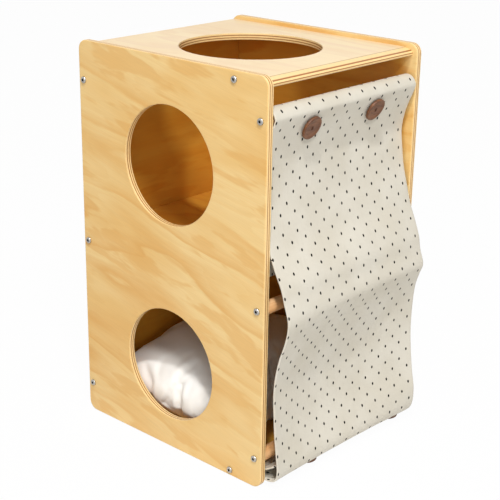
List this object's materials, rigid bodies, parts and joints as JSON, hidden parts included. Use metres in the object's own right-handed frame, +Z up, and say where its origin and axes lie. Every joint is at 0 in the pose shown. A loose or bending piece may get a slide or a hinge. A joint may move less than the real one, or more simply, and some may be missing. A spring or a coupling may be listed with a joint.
{
  "type": "cat house",
  "caption": "Wooden cat house of bolted ply panels with round doorways, a round roof opening, an inner shelf, a buttoned cloth front over round rails and a floor cushion.",
  "frame": {"origin": "on the floor, under the middle of the whole object with its cloth front", "axes": "+Z up; -Y is the cloth front; -X is the side panel with the round doorways"},
  "size_m": [0.3762, 0.4411, 0.65],
  "materials": {
    "pine_ply": "satin varnished light conifer plywood",
    "beech": "plain turned light hardwood",
    "zinc_steel": "bright zinc plated",
    "brass": "turned",
    "dowel_wood": "fluted beech, unvarnished",
    "dotted_canvas": "cream cotton canvas with small dark dots",
    "button_wood": "dark stained, satin",
    "cushion_cotton": "plain off-white brushed cotton"
  },
  "bodies": {
    "house": {"left_side_panel": "pine_ply", "right_side_panel": "pine_ply", "back_panel": "pine_ply", "roof_panel": "pine_ply", "middle_shelf": "pine_ply", "floor_panel": "pine_ply", "top_front_rail": "beech", "middle_front_rail": "beech", "bottom_front_rail": "beech", "left_back_top_bolt": "zinc_steel", "left_back_top_nut": "zinc_steel", "left_back_middle_bolt": "zinc_steel", "left_back_middle_nut": "zinc_steel", "left_back_bottom_bolt": "zinc_steel", "left_back_bottom_nut": "zinc_steel", "left_rail_top_bolt": "zinc_steel", "left_rail_top_insert": "brass", "left_rail_middle_bolt": "zinc_steel", "left_rail_middle_insert": "brass", "left_rail_bottom_bolt": "zinc_steel", "left_rail_bottom_insert": "brass", "left_roof_bolt": "zinc_steel", "left_roof_nut": "zinc_steel", "left_floor_bolt": "zinc_steel", "left_floor_nut": "zinc_steel", "left_roof_dowel": "dowel_wood", "left_shelf_front_dowel": "dowel_wood", "left_shelf_rear_dowel": "dowel_wood", "left_floor_dowel": "dowel_wood", "right_back_top_bolt": "zinc_steel", "right_back_top_nut": "zinc_steel", "right_back_middle_bolt": "zinc_steel", "right_back_middle_nut": "zinc_steel", "right_back_bottom_bolt": "zinc_steel", "right_back_bottom_nut": "zinc_steel", "right_rail_top_bolt": "zinc_steel", "right_rail_top_insert": "brass", "right_rail_middle_bolt": "zinc_steel", "right_rail_middle_insert": "brass", "right_rail_bottom_bolt": "zinc_steel", "right_rail_bottom_insert": "brass", "right_roof_bolt": "zinc_steel", "right_roof_nut": "zinc_steel", "right_floor_bolt": "zinc_steel", "right_floor_nut": "zinc_steel", "right_roof_dowel": "dowel_wood", "right_shelf_front_dowel": "dowel_wood", "right_shelf_rear_dowel": "dowel_wood", "right_floor_dowel": "dowel_wood"},
    "curtain": {"curtain": "dotted_canvas", "top_left_button": "button_wood", "top_right_button": "button_wood", "bottom_left_button": "button_wood", "bottom_right_button": "button_wood"},
    "cushion": {"cushion": "cushion_cotton"}
  },
  "joints": [
    {"name": "curtain_swing", "type": "hinge", "parent": "house", "child": "curtain", "pos_m": [0, -0.16645, 0.585], "axis": [-1, 0, 0], "range_deg": [0, 95]},
    {"name": "cushion_lift", "type": "slide", "parent": "house", "child": "cushion", "axis": [0, 0, 1], "range_m": [0, 0.15]}
  ]
}
